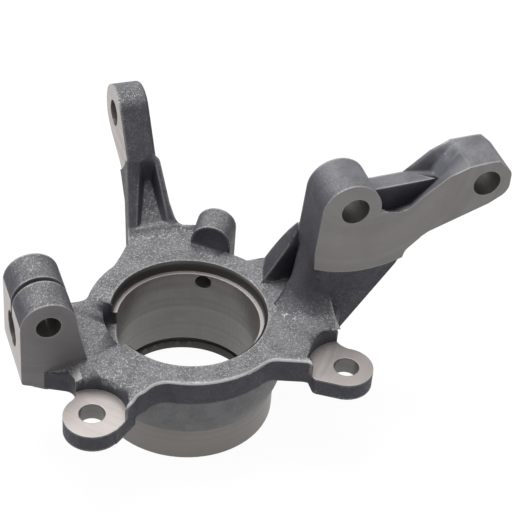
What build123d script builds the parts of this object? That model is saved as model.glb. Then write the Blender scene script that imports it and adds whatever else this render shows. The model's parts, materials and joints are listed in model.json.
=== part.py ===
from build123d import *

import math
import os

# Steering knuckle of a strut front suspension: one iron casting with machined faces and bores.
# Millimetres. Z is the hub axis with the car's centre above, X points up the car to the strut,
# and Y runs along the car. Heights are written from the hub plate's rough top face, and the
# finished casting is lifted at the end so that Z = 0 is the middle of the bearing seat.

# Hub ring and bore
seat_r = 36.0              # bearing seat, a 72 mm bore
recess_r = 38.1            # seal recess above the seat
recess_depth = 5.9
rim_chamfer = 1.6
end_chamfer = 0.8
hub_len = 58.5             # plate top to spigot end
spigot_wall = 9.0          # iron round the seat at the turned spigot
spigot_len = 20.0
spigot_step = 0.8          # cast barrel above the spigot stands proud of it
groove_depth = 1.6         # snap ring groove in the seat
groove_width = 2.2
groove_land = 5.8          # from the spigot end up to the groove
neck_r = 50.4              # cast barrel under the plate
neck_draw = 1.2            # barrel draws in by this down to where it turns
bulge_depth = 27.0
plate_r = 51.8
plate_t = 15.0
plate_inner_r = 6.0        # least radius of the plate outline's hollows
plate_outer_r = 3.0        # and of its corners
cast_edge = 1.8            # rounding of the casting's edges

# Relief beside the seal recess
relief_r = 43.0
relief_depth = 13.0
relief_from = 157.0        # degrees round the hub axis
relief_to = 203.0

# Ball-joint clamp
clamp_x = -76.0
clamp_z = 24.9             # pinch bolt axis
clamp_r = 13.7
clamp_front = -22.0
clamp_back = 17.0
clamp_bottom = -9.0
pinch_r = 6.1
stud_r = 9.0               # ball-joint stud bore, along X
stud_z = 10.5
pinch_face_r = 28.3        # facing cut round the pinch bolt's head
slit = 2.8
lobe_back = 21.5           # plate edge behind the clamp

# Caliper ears
ear_left = (-62.0, -50.1)
ear_right = (66.5, -49.5)
ear_left_r = 14.2
ear_left_drop = 1.4        # pad centre lies in front of the hole
ear_right_r = 13.4
ear_hole_r = 6.4
ear_top = -8.0             # machined face below the plate's top
ear_t = 9.5
spot_left_r = 16.4         # spot facings round the ears' holes
spot_right_r = 18.8

# Steering arm
tip_y = 114.8
tip_z = 43.3
tip_r = 15.4
arm_left = -9.5            # machined side
arm_w = 16.0
arm_slope = 52.9           # degrees, front face
arm_back_slope = 22.0
arm_thick = 16.0
arm_face_r = 30.0          # facing cut round the tapered hole
arm_proud = 0.8            # rough casting beside the machined side
rod_r = 7.1                # wide end of the tapered hole
rod_taper = 1.0            # radius lost across the boss
arm_root_left = -15.6
arm_root_right = 12.0
arm_root_y = 59.0
tip_len = 27.8             # plain tip, from the hole back to the pocketed root
step = 1.4
pocket_round = 1.5

# Strut flange
strut_front = -15.0
strut_back = 9.0
bolt_a = (77.0, 60.8)      # X and Z
bolt_b = (145.6, 66.1)
boss_a_r = 15.2
boss_a_shift = 1.8         # boss centre lies beside the bolt hole
bolt_r = 7.2
web_front = -1.0           # front of the web between the bosses
slope_turn = 5.5           # depth where the outer boss's slope swings back along the web
face_bottom = 22.5         # lowest point of the machined face
cutter_x = 83.5            # where the facing cutter swept it
cutter_r = 60.0
boss_b_top = 12.3
web_end = 124.8            # web's end at the outer boss
scoop_end = (112.9, 64.1)  # scoop's end on the machined face
face_proud = 1.0
root_top = 38.0            # height where the cast root meets the machined face's corner
root_x = 58.6              # its left side there
root_foot = 43.0           # and at the plate
root_right = (69.6, 65.5)  # right side at the plate and at the top
root_corner = (16.0, 5.0)  # rounding of its front corner, at the plate and at the top
ramp_r = 9.7               # hollow in front of the root, at its left side
ramp_grow = 0.32           # and its growth towards the ear, per mm
wing_back = 31.0           # rear wing's edge at the plate
wing_front = 11.0

# Speed sensor boss
sensor_az = 61.2           # degrees round the hub axis
sensor_boss_r = 10.4
sensor_boss_z = 4.0
sensor_in = 50.5
sensor_out = 67.0
sensor_r = 4.2
sensor_z = -10.6           # height of the sensor's hole
sensor_wall = 4.5          # iron round the sensor's hole
screw_r = 2.6              # blind hole for the sensor's screw
screw_depth = 11.0

# Ribs under the plate
rib_t = 9.0
rib_depth = 20.0
rib_x = -1.5
rib_y = -2.0
arm_rib = 9.6              # reach beyond the barrel
strut_rib = 21.6
clamp_rib = 31.6


# Rounds the nearest corner of a face
def ease(face, u, v, radius):
    return fillet(face.vertices().sort_by_distance((u, v, 0))[0], radius)


# A face from corners (u, v, rounding)
def rounded(corners):
    face = make_face(Polyline(*[(u, v) for u, v, r in corners], close=True))
    for u, v, r in corners:
        if r:
            face = ease(face, u, v, r)
    return face


# Outline in X and Y, from height z0 up to z1
def plan(corners, z0, z1):
    return Pos(0, 0, z0) * extrude(rounded(corners), z1 - z0)


# Outline in X and Z, from y0 back to y1
def front(corners, y0, y1):
    plane = Plane(origin=(0, y1, 0), x_dir=(1, 0, 0), z_dir=(0, -1, 0))
    return extrude(plane * rounded(corners), y1 - y0)


# Outline in Y and Z, from x0 to x1
def side(corners, x0, x1):
    plane = Plane(origin=(x0, 0, 0), x_dir=(0, 1, 0), z_dir=(1, 0, 0))
    return extrude(plane * rounded(corners), x1 - x0)


# Straight-sided body between two outlines (X, Z) at the depths y0 and y1
def between(near, far, y0, y1):
    ends = []
    for y, corners in ((y0, near), (y1, far)):
        plane = Plane(origin=(0, y, 0), x_dir=(1, 0, 0), z_dir=(0, -1, 0))
        ends.append(plane * make_face(Polyline(*corners, close=True)))
    return loft(ends, ruled=True)


# Straight-sided body between two outlines (X, Y) at the heights z0 and z1
def stacked(low, high, z0, z1):
    ends = [Pos(0, 0, z) * make_face(Polyline(*corners, close=True)) for z, corners in ((z0, low), (z1, high))]
    return loft(ends, ruled=True)


def rod_z(x, y, z0, z1, r):
    return Pos(x, y, (z0 + z1) / 2) * Cylinder(r, z1 - z0)


def rod_y(x, z, y0, y1, r):
    return Pos(x, (y0 + y1) / 2, z) * Rot(90, 0, 0) * Cylinder(r, y1 - y0)


# Rounds the edges that a test picks
def soften(body, picks, radius):
    return fillet([edge for edge in body.edges() if picks(edge)], radius)


# True for an edge whose whole length lies in a box
def inside(edge, low, high):
    box = edge.bounding_box()
    lows = (box.min.X, box.min.Y, box.min.Z)
    highs = (box.max.X, box.max.Y, box.max.Z)
    return all(a <= b for a, b in zip(low, lows)) and all(a <= b for a, b in zip(highs, high))


def hub_barrel():
    top = -2.0
    spigot_r = seat_r + spigot_wall
    shoulder = spigot_len - hub_len
    turn = (bulge_depth + plate_t) / 2
    bulge_r = neck_r - neck_draw
    outline = [
        Line((0, top), (neck_r, top)),
        Line((neck_r, top), (neck_r, -plate_t)),
        Spline((neck_r, -plate_t), ((neck_r + bulge_r) / 2, -turn), (bulge_r, -bulge_depth),
               (spigot_r + spigot_step, shoulder)),
        Line((spigot_r + spigot_step, shoulder), (spigot_r, shoulder)),
        Line((spigot_r, shoulder), (spigot_r, end_chamfer - hub_len)),
        Line((spigot_r, end_chamfer - hub_len), (spigot_r - end_chamfer, -hub_len)),
        Line((spigot_r - end_chamfer, -hub_len), (0, -hub_len)),
        Line((0, -hub_len), (0, top)),
    ]
    half = Plane.XZ * make_face(outline)
    return revolve(half, Axis.Z)


# Outlines of the two caliper ears, beside their round ends
def ear_outlines():
    lx, ly = ear_left
    rx, ry = ear_right
    left = rounded([(lx - 13, ly + 1.5, 0), (lx - 3.6, ly + 15, 0), (lx + 14, ly + 18, 0), (lx + 20.5, ly - 3, 0),
                    (lx + 19.3, ly - 4.4, 0), (lx + 8.6, ly - 13.2, 0)])
    left += Pos(lx, ly - ear_left_drop) * Circle(ear_left_r)
    right = rounded([(rx - 18.4, ry - 4.4, 3), (rx - 6.6, ry - 11.7, 0), (rx + 5, ry + 12.6, 0),
                     (rx + 1.8, ry + 17, 4), (rx + 2, ry + 22, 0), (rx - 18, ry + 20, 0)])
    right += Pos(rx, ry) * Circle(ear_right_r)
    return left, right


# Rough-cast plate round the bore, with lobes to the clamp, the ears and the arms
def plate():
    lx, ly = ear_left
    rx, ry = ear_right
    left, right = ear_outlines()
    outline = Circle(plate_r) + left + right
    outline += rounded([(-30, lobe_back, 0), (clamp_x + 12, lobe_back, 4), (clamp_x - 8, 12, 4),
                        (clamp_x - 9, clamp_front + 3, 4), (clamp_x + 10, clamp_front - 6, 5),
                        (lx - 4, ly + 14, 0), (lx + 17, ly - 3, 0),
                        (-36, -49.5, 0), (-22, -40, 0)])
    outline += rounded([(22, -40, 0), (33, -44.6, 0), (rx - 16, ry - 1, 0), (rx + 1.8, ry + 8, 0),
                        (rx + 1.6, ry + 17, 5), (rx + 2.5, ry + 24, 3), (75, strut_front - 1, 0),
                        (68, 12, 6), (50, 28, 0), (20, 20, 0)])
    outline += rounded([(-32, 38, 0), (-22, 51, 12), (arm_root_left - 1, arm_root_y, 0), (arm_root_right, 66, 0),
                        (26, 62, 0), (34, 46, 0), (0, 20, 0)])
    for u, v, r in ((-27.5, -43.8, 12), (-36, -49.5, 8), (25, -45.3, 8.4), (-47, lobe_back, 5)):
        outline = ease(outline, u, v, r)
    outline = offset(offset(outline, plate_inner_r), -plate_inner_r)
    outline = offset(offset(outline, -plate_outer_r), plate_outer_r)
    body = Pos(0, 0, -plate_t) * extrude(outline, plate_t)
    body = soften(body, lambda edge: abs(edge.center().Z) < 0.01, cast_edge)
    return soften(body, lambda edge: abs(edge.center().Z + plate_t) < 0.01, cast_edge)


def ears():
    base = ear_top - ear_t
    pads = [Pos(0, 0, base) * extrude(outline, ear_t) for outline in ear_outlines()]
    return pads[0] + pads[1]


# Split clamp that grips the ball-joint stud
def clamp():
    x0 = clamp_x - clamp_r
    x1 = clamp_x + clamp_r
    body = front([(x0, clamp_z, 0), (x0, clamp_bottom, 2.5), (x0 + 5, clamp_bottom - 2, 4),
                  (x0 + 12, -plate_t, 6), (x1 + 4, -plate_t, 0),
                  (x1 + 5, 0, 0), (x1 + 0.6, clamp_z - 4, 6), (x1, clamp_z, 0)], clamp_front, clamp_back)
    return body + rod_y(clamp_x, clamp_z, clamp_front, clamp_back, clamp_r)


def steering_arm():
    s = math.radians(arm_slope)
    b = math.radians(arm_back_slope)
    front_y = tip_y - tip_r * math.sin(s)
    front_z = tip_z + tip_r * math.cos(s)
    foot_y = front_y - front_z / math.tan(s)
    back_y = tip_y + tip_r * math.sin(b)
    back_z = tip_z - tip_r * math.cos(b)
    drop = foot_y * math.tan(s) + arm_thick / math.cos(s)
    turn_y = (back_z - back_y * math.tan(b) + drop) / (math.tan(s) - math.tan(b))
    turn_z = turn_y * math.tan(s) - drop
    low_y = (drop - plate_t) / math.tan(s)
    x1 = arm_left + arm_w
    spread = 26.0
    step_y = tip_y - tip_len
    end_y = tip_y + 2 * tip_r
    web = side([(foot_y - 14, -plate_t, 0), (foot_y - 14, 0, 0), (foot_y, 0, 12), (front_y, front_z, 0),
                (tip_y, tip_z, 0), (back_y, back_z, 0), (turn_y, turn_z, 14), (low_y, -plate_t, 0)],
               arm_left - spread, x1 + spread)
    tip = Pos((arm_left + x1) / 2, tip_y, tip_z) * Rot(0, 90, 0) * Cylinder(tip_r, arm_w + 2 * spread)
    trim = plan([(arm_left - arm_proud, end_y, 0), (arm_left - arm_proud, step_y, 12), (arm_root_left, arm_root_y, 0),
                 (arm_root_left - 3, 30, 0), (26, 30, 0), (26, 62.6, 0), (arm_root_right + 0.5, 64.5, 6),
                 (arm_root_right - 2, 72, 0), (x1 + step, step_y - 1, 2), (x1, step_y, 0), (x1, end_y, 0)],
                -plate_t, tip_z + tip_r + 5)
    body = (web + tip) & trim
    body = soften(body, lambda edge: inside(edge, (x1 - 0.1, step_y + 0.5, 0), (x1 + 0.1, end_y, 2 * tip_z)), 2.4)
    facing = Pos(arm_left - arm_face_r / 2, tip_y, tip_z) * Rot(0, 90, 0) * Cylinder(arm_face_r, arm_face_r)
    return body - facing


# Pocket in the arm's root, with sloping walls and a floor that rises towards the hub
def arm_pocket():
    s = math.radians(arm_slope)
    foot_y = tip_y - tip_r * math.sin(s) - (tip_z + tip_r * math.cos(s)) / math.tan(s)
    rim = Plane(origin=(0, foot_y, 0), x_dir=(1, 0, 0), z_dir=(0, -math.sin(s), math.cos(s)))
    tilt = math.radians(38.8)
    floor = Plane(origin=(0, foot_y + 4.4, 2.6), x_dir=(1, 0, 0), z_dir=(0, -math.sin(tilt), math.cos(tilt)))
    upper = rim.offset(1) * make_face(Polyline((-3.2, 40), (5.4, 39.6), (8.8, 4), (-10.4, 4), close=True))
    lower = floor * make_face(Polyline((-0.4, 24.2), (3.6, 24.2), (5.0, 1), (-6.6, 1), close=True))
    body = loft([lower, upper], ruled=True)
    return soften(body, lambda edge: rim.to_local_coords(edge.center()).Z < 0.9, pocket_round)


# Flange that bolts to the strut, with a boss at each bolt
def strut_arm():
    ax, az = bolt_a
    ax -= boss_a_shift
    face = front([(ax - boss_a_r, az, 0), (58.2, 38, 6), (59.2, face_bottom - 5, 0), (103, face_bottom - 5, 0),
                  (106.6, 31, 5), (114, 38, 0), (110, 57, 0), (104, 56.6, 0),
                  (ax + 12, az - 3, 0), (ax, az + 8, 0)], strut_front, strut_back)
    face &= rod_y(cutter_x, face_bottom + cutter_r, strut_front, strut_back, cutter_r)
    boss_a = rod_y(ax, az, strut_front, strut_back, boss_a_r)
    web = front([(ax, az - 0.7, 0), (web_end, az + 1.6, 0), (web_end, az - 20, 0), (ax, az - 20, 0)],
                web_front, strut_back)
    return face + boss_a + web + outer_boss()


# Outer bolt boss and its bar, with a slope down to the web that steepens behind the scoop
def outer_boss():
    bx, bz = bolt_b
    top = bz + boss_b_top
    right = bx + 30
    low = [(right, 20), (90, 20)]
    start = [(90, 56.6), (104, 56.6)]
    end = [(bx, top), (right, top)] + low
    near = start + [scoop_end, (124.7, 73.4), (135.5, top - 1)] + end
    mid = start + [(web_end + 1.5, 62.3), (130.4, 69.5), (135, top - 0.6)] + end
    back = start + [(web_end - 1, 62.4), (128.8, 70.6), (134.6, top - 0.5)] + end
    rear = start + [(111.5, 62.2), (124.1, 72.8), (134.3, top - 0.5)] + end
    outline = [(104, 42, 0), (104, 57, 0), (111.5, 64.5, 0), (124.1, 74, 0), (134, top + 0.5, 0),
               (bx + 4.6, top + 0.5, 4), (bx + 12.8, bz + 5, 6), (bx + 12.8, bz - 7, 8), (bx + 3, bz - 13, 4),
               (118, 41, 10), (107, 33.5, 0)]
    slope = between(near, mid, strut_front, web_front) + between(mid, back, web_front, slope_turn)
    slope += between(back, rear, slope_turn, strut_back)
    return front(outline, strut_front, strut_back) & slope


# Scoop between the two bolt bosses, undercut behind the machined face
def strut_recess():
    ax, az = bolt_a
    low = az - 4.6
    end_x, end_z = scoop_end
    rim = [(ax + 9, az + 16), (ax + 12, az + 5.5), (ax + 14, az), (ax + 18, low + 0.8), (ax + 23.8, low),
           (ax + 28.4, low + 1.6), (end_x, end_z), (end_x, 95), (ax + 8, 95)]
    back = [(ax + 9, az + 16), (ax + 12, az - 4.5), (ax + 14, az - 10), (ax + 18, low - 9), (ax + 26, low - 10),
            (ax + 36, low - 7), (web_end + 1.5, az + 1.5), (web_end + 1.5, 95), (ax + 8, 95)]
    keep = rod_y(ax - boss_a_shift, az, strut_front - 6, strut_back, boss_a_r)
    return between(rim, back, strut_front, web_front) - keep


# Level section of the root: its sides flare to the plate, and the front corner is rounded
def root_section(z):
    y = strut_front + face_proud
    flare = (1 - z / root_top) ** 2.5
    left = root_x - (root_x - root_foot) * flare
    low, high = root_right
    right = high + (low - high) * (1 - z / root_top)
    corners = []
    for x in (left, right):
        r = ramp_r + ramp_grow * (x - root_foot)
        lift = max(r - z, 0)
        corners.append((x, y - r + math.sqrt(r * r - lift * lift)))
    (ax, ay), (bx, by) = corners
    low, high = root_corner
    turn = high + (low - high) * (1 - z / root_top)
    length = math.hypot(bx - ax, by - ay)
    turn = min(turn, 0.8 * length)
    ex = ax + (bx - ax) * turn / length
    ey = ay + (by - ay) * turn / length
    return Pos(0, 0, z) * make_face([
        Line((ax, strut_back), (ax, ay + turn)), Bezier((ax, ay + turn), (ax, ay), (ex, ey)),
        Line((ex, ey), (bx, by)), Line((bx, by), (bx, strut_back)), Line((bx, strut_back), (ax, strut_back)),
    ])


# Cast body under the flange: a root that flares to the plate beside the bore and hollows out
# towards the ear, and a flat skin behind the machined face
def strut_root():
    ax, az = bolt_a
    ax -= boss_a_shift
    low = -plate_t - 2
    lobe_x = 70.6
    root = loft([root_section(root_top * k / 8) for k in range(9)])
    core = front([(root_x, low, 0), (root_x, root_top, 0), (ax, az, 0), (90, 50, 0), (108, 34, 0),
                  (102.5, 22.5, 0), (75.2, low, 0)], strut_front + 9, strut_back)
    skin = front([(60.5, root_top, 0), (60.5, face_bottom, 0), (67, 12, 8), (lobe_x - 1, 0, 8),
                  (lobe_x, low + 4, 6), (75.2, low, 2), (102.5, 22.5, 6), (108, 34, 0), (90, 50, 0)],
                 strut_front + face_proud, strut_back)
    return core + skin + root


# Rear wing that braces the flange, wide at the plate and closing on the inner boss
def wing():
    foot = plan([(36, wing_front, 0), (66, wing_front, 0), (66, 24, 6), (50, wing_back, 4), (34, wing_back, 0)],
                -plate_t, 0)
    low = [(41.5, wing_front), (66, wing_front), (66, 26), (48.2, wing_back - 2)]
    mid = [(52, wing_front), (68, wing_front), (68, 20), (55.2, 24)]
    top = [(58.5, strut_back - 4), (70, strut_back - 4), (70, 9.5), (59, 13)]
    return foot + loft([Pos(0, 0, z) * make_face(Polyline(*corners, close=True))
                        for z, corners in ((0, low), (18, mid), (36, top))])


# Hollow between the wing and the flange's root
def channel():
    low = [(34, 13), (57, 10.5), (50.5, -1.5), (36, -8)]
    high = [(57, 11.5), (60.5, 9.5), (60, 4), (57, 3)]
    return stacked(low, high, 0, 34)


# Ribs that join the plate's underside to the barrel
def ribs():
    low = -plate_t - rib_depth
    inner = neck_r - 4
    corner = [(inner, -plate_t + 1, 0), (inner, low, 0), (neck_r + 1.8, low, 6)]
    arm = side(corner + [(neck_r + arm_rib, -plate_t + 1, 0)], rib_x - rib_t / 2, rib_x + rib_t / 2)
    strut = front(corner + [(neck_r + strut_rib, -plate_t + 1, 0)], rib_y - rib_t / 2, rib_y + rib_t / 2)
    stud = front([(-u, v, r) for u, v, r in corner] + [(-neck_r - clamp_rib, -plate_t + 1, 0)],
                 rib_y - rib_t / 2, rib_y + rib_t / 2)
    return arm + strut + stud


def sensor_boss():
    length = sensor_out - sensor_in
    mid = (sensor_in + sensor_out) / 2
    barrel = Pos(mid, 0, sensor_boss_z) * Rot(0, 90, 0) * Cylinder(sensor_boss_r, length)
    foot = Pos(mid, 0, (sensor_boss_z - plate_t) / 2) * Box(length, 2 * sensor_boss_r, sensor_boss_z + plate_t)
    low = (sensor_z - sensor_r) - sensor_wall
    inner = neck_r - 2
    keel = Pos((inner + sensor_out) / 2, 0, (low - plate_t / 2) / 2)
    keel *= Box(sensor_out - inner, 2 * sensor_r + 2 * sensor_wall, -low - plate_t / 2)
    return Rot(0, 0, sensor_az) * (barrel + foot + keel)


def bores():
    shoulder = -recess_depth
    cuts = rod_z(0, 0, -hub_len - 1, 1, seat_r)
    cuts += rod_z(0, 0, shoulder, 1, recess_r)
    cuts += Pos(0, 0, -rim_chamfer / 2) * Cone(recess_r, recess_r + rim_chamfer, rim_chamfer)
    cuts += Pos(0, 0, end_chamfer / 2 - hub_len) * Cone(seat_r + end_chamfer, seat_r, end_chamfer)
    groove_z = groove_land - hub_len
    cuts += rod_z(0, 0, groove_z, groove_z + groove_width, seat_r + groove_depth)
    arc = math.radians
    sector = [(0, 0, 0)]
    for k in range(5):
        a = arc(relief_from + (relief_to - relief_from) * k / 4)
        sector.append((relief_r * 1.3 * math.cos(a), relief_r * 1.3 * math.sin(a), 0))
    cuts += rod_z(0, 0, -relief_depth, 1, relief_r) & plan(sector, -relief_depth, 1)
    return cuts


def holes():
    cuts = None
    for (x, y), spot in ((ear_left, spot_left_r), (ear_right, spot_right_r)):
        drill = rod_z(x, y, ear_top - 3 * ear_t, spot, ear_hole_r) + rod_z(x, y, ear_top, spot, spot)
        cuts = drill if cuts is None else cuts + drill
    for x, z in (bolt_a, bolt_b):
        cuts += rod_y(x, z, strut_front - 5, strut_back + 5, bolt_r)
    cuts += rod_y(clamp_x, clamp_z, clamp_front - 5, clamp_back + 5, pinch_r)
    mid = (clamp_front + clamp_back) / 2
    across = 4 * clamp_r
    cuts += Pos(clamp_x, mid, stud_z) * Rot(0, 90, 0) * Cylinder(stud_r, across)
    cuts += Pos(clamp_x, mid, stud_z + across / 2) * Box(across, slit, across)
    taper = Cone(rod_r, rod_r - rod_taper, arm_w)
    cuts += Pos(arm_left + arm_w / 2, tip_y, tip_z) * Rot(0, 90, 0) * taper
    sensor = Pos((seat_r + sensor_out) / 2, 0, sensor_z) * Rot(0, 90, 0) * Cylinder(sensor_r, sensor_out - seat_r + 6)
    screw = Pos(sensor_out - screw_depth / 2, 0, sensor_boss_z) * Rot(0, 90, 0) * Cylinder(screw_r, screw_depth)
    cuts += Rot(0, 0, sensor_az) * (sensor + screw)
    cuts += rod_y(clamp_x, clamp_z, clamp_front - pinch_face_r, clamp_front, pinch_face_r)
    return cuts


def knuckle():
    body = hub_barrel() + plate() + ears() + clamp() + steering_arm() + sensor_boss() + ribs()
    body += strut_root() + wing()
    body -= channel()
    body += strut_arm()
    body -= strut_recess()
    body -= arm_pocket()
    body -= bores()
    body -= holes()
    seat_mid = -(recess_depth + hub_len - groove_land - groove_width) / 2
    return Pos(0, 0, -seat_mid) * body


os.makedirs("parts", exist_ok=True)
export_step(knuckle(), "parts/knuckle.step")
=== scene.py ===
import json
import math

import bpy
from mathutils import Matrix, Vector

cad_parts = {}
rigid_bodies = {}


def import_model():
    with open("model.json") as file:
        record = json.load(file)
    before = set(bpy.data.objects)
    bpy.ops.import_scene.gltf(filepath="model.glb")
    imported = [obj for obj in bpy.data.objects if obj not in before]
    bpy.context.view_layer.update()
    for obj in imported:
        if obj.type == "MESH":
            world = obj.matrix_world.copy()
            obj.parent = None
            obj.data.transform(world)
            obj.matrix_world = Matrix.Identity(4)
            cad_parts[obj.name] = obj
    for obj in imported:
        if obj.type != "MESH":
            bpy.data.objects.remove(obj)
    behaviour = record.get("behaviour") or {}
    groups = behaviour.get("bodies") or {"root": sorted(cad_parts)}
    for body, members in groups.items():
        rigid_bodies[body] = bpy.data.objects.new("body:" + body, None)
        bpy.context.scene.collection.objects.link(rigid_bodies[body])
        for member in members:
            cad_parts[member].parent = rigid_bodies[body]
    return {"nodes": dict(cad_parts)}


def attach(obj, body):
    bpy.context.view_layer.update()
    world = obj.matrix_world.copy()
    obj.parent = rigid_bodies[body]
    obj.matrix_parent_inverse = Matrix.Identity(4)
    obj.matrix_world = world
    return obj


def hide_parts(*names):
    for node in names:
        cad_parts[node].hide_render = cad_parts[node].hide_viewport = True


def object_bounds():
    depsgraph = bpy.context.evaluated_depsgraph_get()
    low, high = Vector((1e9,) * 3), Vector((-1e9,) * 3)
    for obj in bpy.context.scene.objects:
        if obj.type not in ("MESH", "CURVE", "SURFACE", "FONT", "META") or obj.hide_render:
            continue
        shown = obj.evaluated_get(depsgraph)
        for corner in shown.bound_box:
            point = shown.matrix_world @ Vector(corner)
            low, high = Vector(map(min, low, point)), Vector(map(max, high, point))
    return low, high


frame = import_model()
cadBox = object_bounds()
mm = 0.001


def clearSelection():
    for obj in bpy.context.view_layer.objects:
        obj.select_set(False)


def pickOnly(obj):
    clearSelection()
    obj.select_set(True)
    bpy.context.view_layer.objects.active = obj


def addNode(tree, kind, **settings):
    node = tree.nodes.new(kind)
    for key, value in settings.items():
        setattr(node, key, value)
    return node


def feed(tree, socket, value):      # links a socket, or types a plain value in
    if isinstance(value, bpy.types.NodeSocket):
        tree.links.new(value, socket)
    else:
        socket.default_value = value


def mathOf(tree, operation, *values):
    node = addNode(tree, "ShaderNodeMath", operation=operation)
    for socket, value in zip(node.inputs, values):
        feed(tree, socket, value)
    return node.outputs[0]


def times(tree, first, *others):
    for other in others:
        first = mathOf(tree, "MULTIPLY", first, other)
    return first


def vectorOf(tree, operation, a, b=None):
    node = addNode(tree, "ShaderNodeVectorMath", operation=operation)
    feed(tree, node.inputs[0], a)
    if b is not None:
        feed(tree, node.inputs["Scale" if operation == "SCALE" else 1], b)
    return node.outputs["Value" if operation in ("DOT_PRODUCT", "LENGTH") else "Vector"]


def partsOf(tree, vector):
    node = addNode(tree, "ShaderNodeSeparateXYZ")
    feed(tree, node.inputs[0], vector)
    return node.outputs


def spread(tree, value, low, high, toLow=0.0, toHigh=1.0, kind="SMOOTHSTEP"):
    node = addNode(tree, "ShaderNodeMapRange", interpolation_type=kind)
    names = ("Value", "From Min", "From Max", "To Min", "To Max")
    for name, number in zip(names, (value, low, high, toLow, toHigh)):
        feed(tree, node.inputs[name], number)
    return node.outputs["Result"]


def between(tree, share, low, high):        # low where the share is 0, high where it is 1
    return spread(tree, share, 0, 1, low, high, "LINEAR")


def window(tree, value, start, full, fade, stop):
    return times(tree, spread(tree, value, start, full), spread(tree, value, stop, fade))


def mixColour(tree, share, a, b):
    node = addNode(tree, "ShaderNodeMix", data_type="RGBA")
    for number, value in ((0, share), (6, a), (7, b)):      # the factor and the two colour sockets
        feed(tree, node.inputs[number], value)
    return node.outputs[2]


def noiseOf(tree, vector, scale, detail, rough):
    node = addNode(tree, "ShaderNodeTexNoise")
    for name, value in (("Vector", vector), ("Scale", scale), ("Detail", detail), ("Roughness", rough)):
        feed(tree, node.inputs[name], value)
    return node.outputs["Fac"]


def lineNoise(tree, along, scale, detail):
    node = addNode(tree, "ShaderNodeTexNoise", noise_dimensions="1D")
    for name, value in (("W", along), ("Scale", scale), ("Detail", detail)):
        feed(tree, node.inputs[name], value)
    return node.outputs["Fac"]


def openness(tree, distance):       # 1 out in the open, 0 in a tight corner
    node = addNode(tree, "ShaderNodeAmbientOcclusion", samples=6)
    feed(tree, node.inputs["Distance"], distance)
    return node.outputs["AO"]


def newGroup(name, inputs, outputs):
    group = bpy.data.node_groups.new(name, "ShaderNodeTree")
    for label, kind, value in inputs:
        socket = group.interface.new_socket(label, in_out="INPUT", socket_type="NodeSocket" + kind)
        if value is not None:
            socket.default_value = value
    for label, kind in outputs.items():
        group.interface.new_socket(label, in_out="OUTPUT", socket_type="NodeSocket" + kind)
    return group, addNode(group, "NodeGroupInput").outputs, addNode(group, "NodeGroupOutput").inputs


def placeGroup(tree, group, **values):
    node = addNode(tree, "ShaderNodeGroup")
    node.node_tree = group
    for label, value in values.items():
        feed(tree, node.inputs[label], value)
    return node.outputs


# Noise scales are in cells per metre, distances in metres
effects = {
    "grain": {"fine": 1050, "lumps": 420, "waves": 70, "cells": 900,
              "fineShare": 0.55, "lumpShare": 0.9, "cellShare": 0.35,
              "fineSpecks": (0.47, 0.63), "lumpSpecks": (0.34, 0.62), "pits": (0.78, 0.5)},
    "edges": {"turn": (0.995, 0.86), "near": 0.004, "outer": (0.82, 0.97),
              "wide": 0.022, "shade": (0.15, 0.9)},
    "marks": {"rings": (1.0, 2.0), "streaks": (0.12, 3.0), "endFace": 0.5},
}


# Sand grain: a height for the bump, bright blasted specks, slow mottling and dark pits
def makeGrain():
    look = effects["grain"]
    group, given, made = newGroup(
        "sandGrain", [("Vector", "Vector", None), ("Size", "Float", 1.0)],
        {"Height": "Float", "Specks": "Float", "Mottle": "Float", "Pits": "Float"})
    place = given["Vector"]
    layers = ("fine", "lumps", "waves", "cells")
    scales = {key: mathOf(group, "DIVIDE", look[key], given["Size"]) for key in layers}
    fine = noiseOf(group, place, scales["fine"], 4, 0.65)
    lumps = noiseOf(group, place, scales["lumps"], 3, 0.5)
    cells = addNode(group, "ShaderNodeTexVoronoi", feature="F1")
    feed(group, cells.inputs["Vector"], place)
    feed(group, cells.inputs["Scale"], scales["cells"])
    height = times(group, spread(group, cells.outputs["Distance"], 0.1, 0.6), look["cellShare"])
    height = mathOf(group, "MULTIPLY_ADD", lumps, look["lumpShare"], height)
    height = mathOf(group, "MULTIPLY_ADD", fine, look["fineShare"], height)
    fineSpecks = spread(group, fine, *look["fineSpecks"])
    lumpSpecks = spread(group, lumps, *look["lumpSpecks"])
    feed(group, made["Height"], height)
    feed(group, made["Specks"], times(group, fineSpecks, lumpSpecks))
    feed(group, made["Mottle"], noiseOf(group, place, scales["waves"], 3, 0.5))
    feed(group, made["Pits"], spread(group, height, *look["pits"]))
    return group


# Edges: where the rounded normal leaves the face's own, and not in a corner, for wear and painted highlight;
# Shade is painted shade in corners and recesses
def makeEdges():
    look = effects["edges"]
    group, given, made = newGroup(
        "edgeWearSheenShade", [("Radius", "Float", 0.0012)], {"Edge": "Float", "Rounded": "Vector", "Shade": "Float"})
    bevel = addNode(group, "ShaderNodeBevel", samples=6)
    feed(group, bevel.inputs["Radius"], given["Radius"])
    own = addNode(group, "ShaderNodeNewGeometry").outputs["Normal"]
    turn = spread(group, vectorOf(group, "DOT_PRODUCT", bevel.outputs["Normal"], own), *look["turn"])
    outer = spread(group, openness(group, look["near"]), *look["outer"])
    feed(group, made["Edge"], times(group, turn, outer))
    feed(group, made["Rounded"], bevel.outputs["Normal"])
    feed(group, made["Shade"], spread(group, openness(group, look["wide"]), *look["shade"]))
    return group


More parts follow.
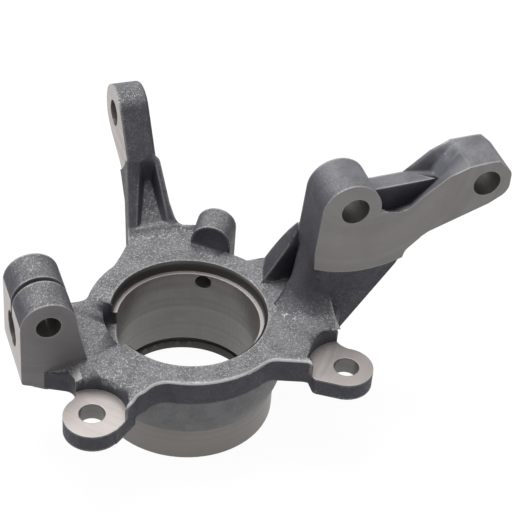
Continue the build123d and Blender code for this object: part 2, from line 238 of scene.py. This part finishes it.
# Tool marks: fine rings round an axis, circles on an end face and hoops on a wall
def makeToolMarks():
    look = effects["marks"]
    group, given, made = newGroup(
        "toolMarks", [("Vector", "Vector", None), ("Centre", "Vector", (0, 0, 0)),
                      ("Axis", "Vector", (0, 0, 1)), ("Pitch", "Float", 0.0004)],
        {"Height": "Float", "Streaks": "Float"})
    away = vectorOf(group, "SUBTRACT", given["Vector"], given["Centre"])
    along = vectorOf(group, "DOT_PRODUCT", away, given["Axis"])
    flat = vectorOf(group, "SUBTRACT", away, vectorOf(group, "SCALE", given["Axis"], along))
    normal = addNode(group, "ShaderNodeTexCoord").outputs["Normal"]
    facing = vectorOf(group, "DOT_PRODUCT", normal, given["Axis"])
    endFace = mathOf(group, "GREATER_THAN", mathOf(group, "ABSOLUTE", facing), look["endFace"])
    circles = times(group, endFace, vectorOf(group, "LENGTH", flat))
    hoops = times(group, mathOf(group, "SUBTRACT", 1.0, endFace), along)
    turns = mathOf(group, "DIVIDE", mathOf(group, "ADD", circles, hoops), given["Pitch"])
    feed(group, made["Height"], lineNoise(group, turns, *look["rings"]))
    feed(group, made["Streaks"], lineNoise(group, turns, *look["streaks"]))
    return group


grain = makeGrain()
edgeWearSheenShade = makeEdges()
toolMarks = makeToolMarks()
print("stage: shared effects made")


zAxis = (0, 0, 1)
yBack = (0, -1, 0)
anywhere = (-999, 999)

castingLook = {
    "smoothAngle": 27,                  # degrees
    "normalWeight": 60,                 # how far large faces lead the smooth shading
    "weldWithin": 0.000002,             # m, joins the corners of the loose triangles
    "skins": {
        "castIron": {
            # top and side are painted light and shade: one iron, lighter where a face looks up, darker on
            # the sides
            "top": (0.2, 0.2, 0.208, 1), "side": (0.06, 0.06, 0.072, 1),
            # the flange skin colour paints the strut flange's sides lighter, as painted light
            "flangeSkinLit": (0.165, 0.165, 0.19, 1), "dark": (0.022, 0.022, 0.027, 1),
            # specks are blasted grain with a painted glint; the edge colour is wear with a painted highlight
            "blastAndGlint": (0.6, 0.6, 0.61, 1), "edge": (0.62, 0.61, 0.61, 1),
            "specks": (0.05, 0.72), "pits": 0.65,
            "rough": (0.66, 0.34), "metal": (0.2, 0.7), "depth": 0.0004,
        },
        "castBarrel": {
            "top": (0.15, 0.15, 0.155, 1), "side": (0.15, 0.15, 0.155, 1),
            "flangeSkinLit": (0.165, 0.165, 0.19, 1), "dark": (0.04, 0.04, 0.045, 1),
            "blastAndGlint": (0.4, 0.4, 0.4, 1), "edge": (0.3, 0.3, 0.3, 1),
            "specks": (0.12, 0.4), "pits": 0.3,
            "rough": (0.55, 0.4), "metal": (0.3, 0.5), "depth": 0.00015,
        },
    },
    "skinMap": {                        # where the skins change: m, and how far a face looks up
        "grainSize": 0.62, "edgeRadius": 0.001, "rimRadius": 0.0026,
        "facingUp": (0.5, 1.0),
        # the strut flange's even skin, whose sides are painted lighter as painted light
        "smoothFrom": {"X": (0.055, 0.075), "Z": (0.045, 0.075)},       # the strut flange's even skin
        "smoothing": 0.8,
        "raisedFrom": (0.03, 0.05), "raisedTopShade": 0.32,              # tops above the plate
        # tops above the plate are darkened as painted shade
        "rimTilt": (0.2, 0.5, 0.9, 0.98), "rimHeight": (0.0225, 0.0245, 0.029, 0.031),
        "rimFront": (-0.024, -0.032), "rimShare": (0.42, 0.62, 0.2, 0.8),
        # edges are wear plus a painted highlight, stronger on faces that look up
        "mottle": (0.35, 0.68, 0.0, 0.3), "wear": (0.5, 0.95, 0.25, 0.9), "sheenUp": (0.35, 0.85),
        "cornerShadeShare": 0.5, "bumpUp": (0.4, 1.0), "shine": 0.35,
    },
    "cuts": {
        # machined faces that look up or towards -X are painted lighter as painted light
        "padFacedLit": {"base": (0.46, 0.42, 0.405, 1), "dark": (0.32, 0.29, 0.28, 1), "metal": 0.4,
                     "rough": (0.38, 0.5), "centre": (0, 0, 0), "axis": zAxis, "pitch": 0.0005},
        "strutFaced": {"base": (0.235, 0.222, 0.22, 1), "dark": (0.18, 0.165, 0.165, 1), "metal": 0.4,
                       "rough": (0.42, 0.55), "centre": (0.0835, -0.015, 0.1107), "axis": yBack,
                       "pitch": 0.0009},
        # the clamp's front face is painted darker as painted shade
        "clampFacedShaded": {"base": (0.19, 0.18, 0.182, 1), "dark": (0.13, 0.12, 0.12, 1), "metal": 0.4,
                       "rough": (0.42, 0.56), "centre": (-0.076, -0.022, 0.0531), "axis": yBack,
                       "pitch": 0.0007},
        "spigotTurned": {"base": (0.225, 0.205, 0.19, 1), "dark": (0.16, 0.145, 0.135, 1), "metal": 0.45,
                         "rough": (0.36, 0.48), "centre": (0, 0, 0), "axis": zAxis, "pitch": 0.00045},
        "boreGround": {"base": (0.21, 0.2, 0.19, 1), "dark": (0.13, 0.122, 0.115, 1), "metal": 0.5,
                       "rough": (0.3, 0.42), "centre": (0, 0, 0), "axis": zAxis, "pitch": 0.0004},
        # painted shade: the seal recess wall and the land below the groove, turned metal shown nearly black
        "recessShaded": {"base": (0.055, 0.052, 0.05, 1), "dark": (0.035, 0.032, 0.03, 1), "metal": 0.4,
                         "rough": (0.36, 0.48), "centre": (0, 0, 0), "axis": zAxis, "pitch": 0.0004},
    },
    "cutMap": {
        "edgeRadius": 0.0006, "edgeShare": 0.5, "edgeColour": (0.62, 0.6, 0.58, 1),
        "stain": (45, 4, 0.6), "stainShare": (0.42, 0.7, 0.0, 0.4),
        "streakShare": (0.4, 0.65, 0.0, 0.14), "cornerShadeShare": 0.3, "roughStreaks": (0.3, 0.7),
        "ringDepth": 0.000012, "ringStrength": 0.4,
    },
    "hub": {                            # mm
        "seat": 39.9,                   # everything inside this radius is bored
        "floor": -30.25,                # just above the spigot's end
        "ledge": 22.3,                  # floor of the seal recess
        "groove": -22.4,                # top of the snap ring's groove
        "relief": {"angle": (156.9, 203.1), "radius": (36.3, 43.2), "height": (15.1, 28.1)},
        "plateBottom": 13.3,
        "barrel": 51.0,
        "spigotTop": -10.2,
    },
    # Holes, mm: axis they run along, middle across it, radius, range along it, steepest wall
    "holes": (
        (2, (-62.0, -50.1), 6.6, (-10.2, 20.2), 2),             # lower caliper bolt
        (2, (66.5, -49.5), 6.6, (-10.2, 20.2), 2),              # upper caliper bolt
        (1, (77.0, 89.0), 7.4, anywhere, 2),                    # inner strut bolt
        (1, (145.6, 94.3), 7.4, anywhere, 2),                   # outer strut bolt
        (1, (-76.0, 53.1), 6.3, anywhere, 2),                   # clamp's bolt
        (0, (-2.5, 38.7), 9.2, (-100, -55), 0.5),               # ball joint's stud
        (0, (114.8, 71.5), 7.4, anywhere, 2),                   # tie rod's stud
    ),
    # Milled flats, mm: finish, the way they face, and the box that holds them
    "flats": (
        ("strutFaced", yBack, ((40, 999), (-15.1, -14.9), (47.7, 999))),
        ("strutFaced", yBack, ((-999, -55), (-4, -1), anywhere)),               # the slit's two walls
        ("strutFaced", (0, 1, 0), ((-999, -55), (-4, -1), anywhere)),
        ("clampFacedShaded", yBack, ((-999, -45), (-22.1, -21.9), anywhere)),
        ("padFacedLit", (-1, 0, 0), ((-89.8, -89.6), anywhere, anywhere)),         # clamp's outer side
        ("padFacedLit", (-1, 0, 0), ((-9.6, -9.4), (70, 999), anywhere)),          # steering arm's tip
    ),
    "pads": {"top": 20.2, "ears": ((-62.0, -50.1, 17.4), (66.5, -49.5, 19.8))},     # middle and reach
    "sensor": {                         # degrees and mm
        "azimuth": 61.2, "height": 17.6, "hole": 4.4,
        "clear": 30,                    # the hole starts outside this radius
        "end": 66.8, "reach": 75, "half": 12,
    },
    "flatWithin": 0.1,                  # mm
    "square": 0.9,                      # a face counts as facing a way from this share of its normal
}


def startMaterial(name):
    material = bpy.data.materials.new(name)
    material.use_nodes = True
    tree = material.node_tree
    return material, tree, tree.nodes["Principled BSDF"].inputs


def addBump(tree, shader, height, rounded, distance, strength):
    bump = addNode(tree, "ShaderNodeBump")
    values = {"Distance": distance, "Strength": strength, "Height": height, "Normal": rounded}
    for name, value in values.items():
        feed(tree, bump.inputs[name], value)
    feed(tree, shader["Normal"], bump.outputs["Normal"])


# Painted highlight: the bright band along the rounded front edge of the plate
def rimLightOf(tree, spot, height):
    look = castingLook["skinMap"]
    facet = partsOf(tree, addNode(tree, "ShaderNodeNewGeometry").outputs["True Normal"])
    front = spread(tree, spot["Y"], *look["rimFront"])
    tilted = times(tree, window(tree, facet["Z"], *look["rimTilt"]), front)
    band = times(tree, tilted, window(tree, spot["Z"], *look["rimHeight"]))
    return times(tree, band, spread(tree, height, *look["rimShare"]))


def castSkin(name):
    look, shared = castingLook["skins"][name], castingLook["skinMap"]
    material, tree, shader = startMaterial(name)
    coords = addNode(tree, "ShaderNodeTexCoord").outputs
    spot = partsOf(tree, coords["Object"])
    sand = placeGroup(tree, grain, Vector=coords["Object"], Size=shared["grainSize"])
    edges = placeGroup(tree, edgeWearSheenShade, Radius=shared["edgeRadius"])
    rims = placeGroup(tree, edgeWearSheenShade, Radius=shared["rimRadius"])

    # flange zone: even skin with less grain, and sides painted lighter as painted light
    zones = [spread(tree, spot[axis], *limits) for axis, limits in shared["smoothFrom"].items()]
    flangeSkinLit = times(tree, *zones)
    gritty = mathOf(tree, "MULTIPLY_ADD", flangeSkinLit, -shared["smoothing"], 1.0)
    raised = spread(tree, spot["Z"], *shared["raisedFrom"])
    # painted light: faces that look up take the top colour, less so above the plate
    top = times(tree, spread(tree, partsOf(tree, coords["Normal"])["Z"], *shared["facingUp"]),
                mathOf(tree, "MULTIPLY_ADD", raised, -shared["raisedTopShade"], 1.0))
    # bright specks are sand grain and a painted glint, stronger on faces that look up
    specks = times(tree, sand["Specks"], between(tree, top, *look["specks"]), gritty)
    pits = times(tree, sand["Pits"], times(tree, gritty, look["pits"]))
    # edge wear, with a painted highlight that grows on faces that look up
    wornAndSheen = times(tree, rims["Edge"], spread(tree, sand["Height"], *shared["wear"]))
    wornAndSheen = times(tree, wornAndSheen, between(tree, top, *shared["sheenUp"]))
    # painted shade: darker in corners and recesses
    cornerShade = times(tree, mathOf(tree, "SUBTRACT", 1.0, edges["Shade"]), shared["cornerShadeShare"])

    # painted light and shade: top colour on faces that look up, side colour elsewhere
    tone = mixColour(tree, top, mixColour(tree, flangeSkinLit, look["side"], look["flangeSkinLit"]), look["top"])
    tone = mixColour(tree, spread(tree, sand["Mottle"], *shared["mottle"]), tone, look["dark"])
    tone = mixColour(tree, pits, tone, look["dark"])
    tone = mixColour(tree, specks, tone, look["blastAndGlint"])
    tone = mixColour(tree, wornAndSheen, tone, look["edge"])
    # painted highlight along the plate's front rim, in the edge colour
    tone = mixColour(tree, rimLightOf(tree, spot, sand["Height"]), tone, look["edge"])
    tone = mixColour(tree, cornerShade, tone, look["dark"])
    feed(tree, shader["Base Color"], tone)
    feed(tree, shader["Roughness"], between(tree, sand["Specks"], *look["rough"]))
    feed(tree, shader["Metallic"], between(tree, sand["Specks"], *look["metal"]))
    feed(tree, shader["Specular IOR Level"], shared["shine"])
    strength = times(tree, gritty, between(tree, top, *shared["bumpUp"]))
    addBump(tree, shader, sand["Height"], edges["Rounded"], look["depth"], strength)
    return material


def machined(name):
    look, shared = castingLook["cuts"][name], castingLook["cutMap"]
    material, tree, shader = startMaterial(name)
    place = addNode(tree, "ShaderNodeTexCoord").outputs["Object"]
    marks = placeGroup(tree, toolMarks, Vector=place, Centre=look["centre"], Axis=look["axis"],
                       Pitch=look["pitch"])
    edges = placeGroup(tree, edgeWearSheenShade, Radius=shared["edgeRadius"])
    stain = spread(tree, noiseOf(tree, place, *shared["stain"]), *shared["stainShare"])
    tone = mixColour(tree, stain, look["base"], look["dark"])
    tone = mixColour(tree, spread(tree, marks["Streaks"], *shared["streakShare"]), tone, look["dark"])
    # painted shade: darker in corners and recesses
    tone = mixColour(tree, between(tree, edges["Shade"], shared["cornerShadeShare"], 0.0), tone, look["dark"])
    tone = mixColour(tree, times(tree, edges["Edge"], shared["edgeShare"]), tone, shared["edgeColour"])
    feed(tree, shader["Base Color"], tone)
    rough = spread(tree, marks["Streaks"], *shared["roughStreaks"], *look["rough"])
    feed(tree, shader["Roughness"], rough)
    feed(tree, shader["Metallic"], look["metal"])
    addBump(tree, shader, marks["Height"], edges["Rounded"], shared["ringDepth"], shared["ringStrength"])
    return material


def within(value, limits):
    return limits[0] < value < limits[1]


def hubFinish(x, y, z, normal):
    look = castingLook["hub"]
    radius = math.hypot(x, y)
    relief = look["relief"]
    turned = math.degrees(math.atan2(y, x)) % 360
    if all(map(within, (turned, radius, z), (relief["angle"], relief["radius"], relief["height"]))):
        return "castIron"
    if radius < look["seat"] and z > look["floor"]:
        # the ledge takes the lighter machined colour, as painted light
        onLedge = abs(z - look["ledge"]) < castingLook["flatWithin"]
        if onLedge and normal.z > castingLook["square"]:
            return "padFacedLit"
        # below the groove and above the ledge the bore takes the painted shade colour
        return "boreGround" if look["groove"] <= z <= look["ledge"] else "recessShaded"
    if z < look["spigotTop"]:
        return "spigotTurned"
    if radius < look["barrel"] and z < look["plateBottom"] and x * normal.x + y * normal.y > 0:
        return "castBarrel"
    return None


def sensorFinish(x, y, z):
    look = castingLook["sensor"]
    radius = math.hypot(x, y)
    ahead = math.radians(look["azimuth"])
    out = x * math.cos(ahead) + y * math.sin(ahead)
    across = y * math.cos(ahead) - x * math.sin(ahead)
    if out > 0 and math.hypot(across, z - look["height"]) < look["hole"] and radius > look["clear"]:
        return "boreGround"
    if out > look["end"] and abs(across) < look["half"] and radius < look["reach"]:
        return "strutFaced"
    return None


def inHole(centre, normal, hole):
    axis, middle, radius, limits, steepest = hole
    across = [value for number, value in enumerate(centre) if number != axis]
    if math.dist(across, middle) >= radius or abs(normal[axis]) >= steepest:
        return False
    return within(centre[axis], limits)


def onPad(centre, normal):
    pads = castingLook["pads"]
    flat = abs(centre.z - pads["top"]) < castingLook["flatWithin"] and normal.z > castingLook["square"]
    return flat and any(math.hypot(centre.x - x, centre.y - y) < reach for x, y, reach in pads["ears"])


def onFlat(centre, normal, facing, box):
    return normal.dot(facing) > castingLook["square"] and all(map(within, centre, box))


# Which finish a face has, from its place (mm) and the way it faces
def finishOf(centre, normal):
    found = hubFinish(*centre, normal)
    if found:
        return found
    if any(inHole(centre, normal, hole) for hole in castingLook["holes"]):
        return "boreGround"
    if onPad(centre, normal):
        return "padFacedLit"
    for finish, facing, box in castingLook["flats"]:
        if onFlat(centre, normal, Vector(facing), box):
            return finish
    return sensorFinish(*centre) or "castIron"


def markSharp(mesh):        # keeps a crisp line between two finishes
    finishAt = {}
    for polygon in mesh.polygons:
        for key in polygon.edge_keys:
            finishAt.setdefault(key, set()).add(polygon.material_index)
    for edge in mesh.edges:
        if len(finishAt[edge.key]) > 1:
            edge.use_edge_sharp = True


def buildCasting():
    look = castingLook
    mesh = frame["nodes"]["knuckle"].data.copy()
    mesh.name = "knuckleCasting"
    piece = bpy.data.objects.new("knuckleCasting", mesh)
    bpy.context.scene.collection.objects.link(piece)
    pickOnly(piece)
    bpy.ops.object.mode_set(mode="EDIT")
    bpy.ops.mesh.select_all(action="SELECT")
    bpy.ops.mesh.remove_doubles(threshold=look["weldWithin"])
    bpy.ops.object.mode_set(mode="OBJECT")
    mesh.materials.clear()
    finishes = list(look["skins"]) + list(look["cuts"])
    for name in finishes:
        mesh.materials.append(castSkin(name) if name in look["skins"] else machined(name))
    for polygon in mesh.polygons:
        polygon.material_index = finishes.index(finishOf(polygon.center / mm, polygon.normal))
    bpy.ops.object.shade_smooth_by_angle(angle=math.radians(look["smoothAngle"]))
    markSharp(mesh)
    bpy.ops.object.modifier_add(type="WEIGHTED_NORMAL")
    even = piece.modifiers[-1]
    even.keep_sharp = True
    even.weight = look["normalWeight"]
    bpy.ops.object.modifier_apply(modifier=even.name)
    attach(piece, "root")
    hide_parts("knuckle")
    return piece


casting = buildCasting()
print("stage: casting", len(casting.data.polygons), "faces")


studio = {
    "floorSize": 6.0,
    "floorGap": 0.0002,         # m, below the spigot's end
    "floorGrey": 0.8,
    "whiteShare": 0.9,          # how far the floor goes to plain white for the camera
    "whiteness": 1.06,
    "worldGrey": 0.24,
    "target": (0.02, 0.02, 0.03),
    "lamps": {
        "topBox": {"at": (-0.1, 0.55, 1.7), "size": 1.1, "power": 24},
        "leftBox": {"at": (-1.15, 0.3, 0.7), "size": 0.7, "power": 5.2},
        "frontFill": {"at": (0.35, -1.1, 0.5), "size": 0.8, "power": 1.5},
    },
}


def greyOf(value):
    return (value, value, value, 1)


def whiteForView(tree, plain, white, share, output):
    path = addNode(tree, "ShaderNodeLightPath").outputs
    seen = mathOf(tree, "MAXIMUM", path["Is Camera Ray"], path["Is Glossy Ray"])
    seen = mathOf(tree, "MAXIMUM", seen, path["Is Transmission Ray"])
    mix = addNode(tree, "ShaderNodeMixShader")
    for number, value in enumerate((times(tree, seen, share), plain.outputs[0], white.outputs[0])):
        feed(tree, mix.inputs[number], value)
    feed(tree, tree.nodes[output].inputs["Surface"], mix.outputs[0])


def buildFloor():
    clearSelection()
    height = cadBox[0][2] - studio["floorGap"]
    bpy.ops.mesh.primitive_plane_add(size=studio["floorSize"], location=(0, 0, height))
    floor = bpy.context.object
    floor.name = "floor"
    bpy.ops.object.transform_apply(location=True, rotation=True, scale=True)
    material = bpy.data.materials.new("floorWhite")
    material.use_nodes = True
    tree = material.node_tree
    tree.nodes.remove(tree.nodes["Principled BSDF"])
    plain = addNode(tree, "ShaderNodeBsdfDiffuse")
    plain.inputs["Color"].default_value = greyOf(studio["floorGrey"])
    white = addNode(tree, "ShaderNodeEmission")
    white.inputs["Strength"].default_value = studio["whiteness"]
    whiteForView(tree, plain, white, studio["whiteShare"], "Material Output")
    floor.data.materials.append(material)


def buildWorld():
    world = bpy.data.worlds.new("studio")
    bpy.context.scene.world = world
    world.use_nodes = True
    tree = world.node_tree
    plain = tree.nodes["Background"]
    plain.inputs["Color"].default_value = greyOf(studio["worldGrey"])
    white = addNode(tree, "ShaderNodeBackground")
    white.inputs["Color"].default_value = greyOf(1)
    whiteForView(tree, plain, white, 1.0, "World Output")


def buildLamps():
    for name, lamp in studio["lamps"].items():
        clearSelection()
        bpy.ops.object.light_add(type="AREA", location=lamp["at"])
        obj = bpy.context.object
        obj.name = name
        obj.data.size = lamp["size"]
        obj.data.energy = lamp["power"]
        aim = Vector(studio["target"]) - obj.location
        obj.rotation_euler = aim.to_track_quat("-Z", "Y").to_euler()


# The photograph's view: degrees, pixels of the 512 wide frame, and mm from the plate's top
cameraLook = {
    "azimuth": 21.08, "elevation": 39.6, "roll": 4.78,
    "focal": 1744.9, "frame": 512, "sensor": 36,
    "distance": 870.51, "shiftRight": -33.42, "shiftUp": -27.63,
    "plateTop": 28.2,           # above the middle of the bearing seat
}


def buildCamera():
    look = cameraLook
    a, e, roll = (math.radians(look[key]) for key in ("azimuth", "elevation", "roll"))
    ahead = Vector((math.sin(a) * math.cos(e), math.cos(a) * math.cos(e), -math.sin(e)))
    level = Vector((math.cos(a), -math.sin(a), 0))
    upright = level.cross(ahead)
    right = math.cos(roll) * level + math.sin(roll) * upright
    up = -math.sin(roll) * level + math.cos(roll) * upright
    place = -(look["distance"] * ahead + look["shiftRight"] * right + look["shiftUp"] * up)
    place.z += look["plateTop"]
    clearSelection()
    bpy.ops.object.camera_add()
    camera = bpy.context.object
    turn = Matrix((right, up, -ahead)).transposed().to_4x4()
    camera.matrix_world = Matrix.Translation(place * mm) @ turn
    camera.data.sensor_width = look["sensor"]
    camera.data.lens = look["focal"] / look["frame"] * look["sensor"]
    bpy.context.scene.camera = camera


buildFloor()
buildWorld()
buildLamps()
buildCamera()
bpy.context.scene.view_settings.view_transform = "Standard"
print("stage: studio ready")
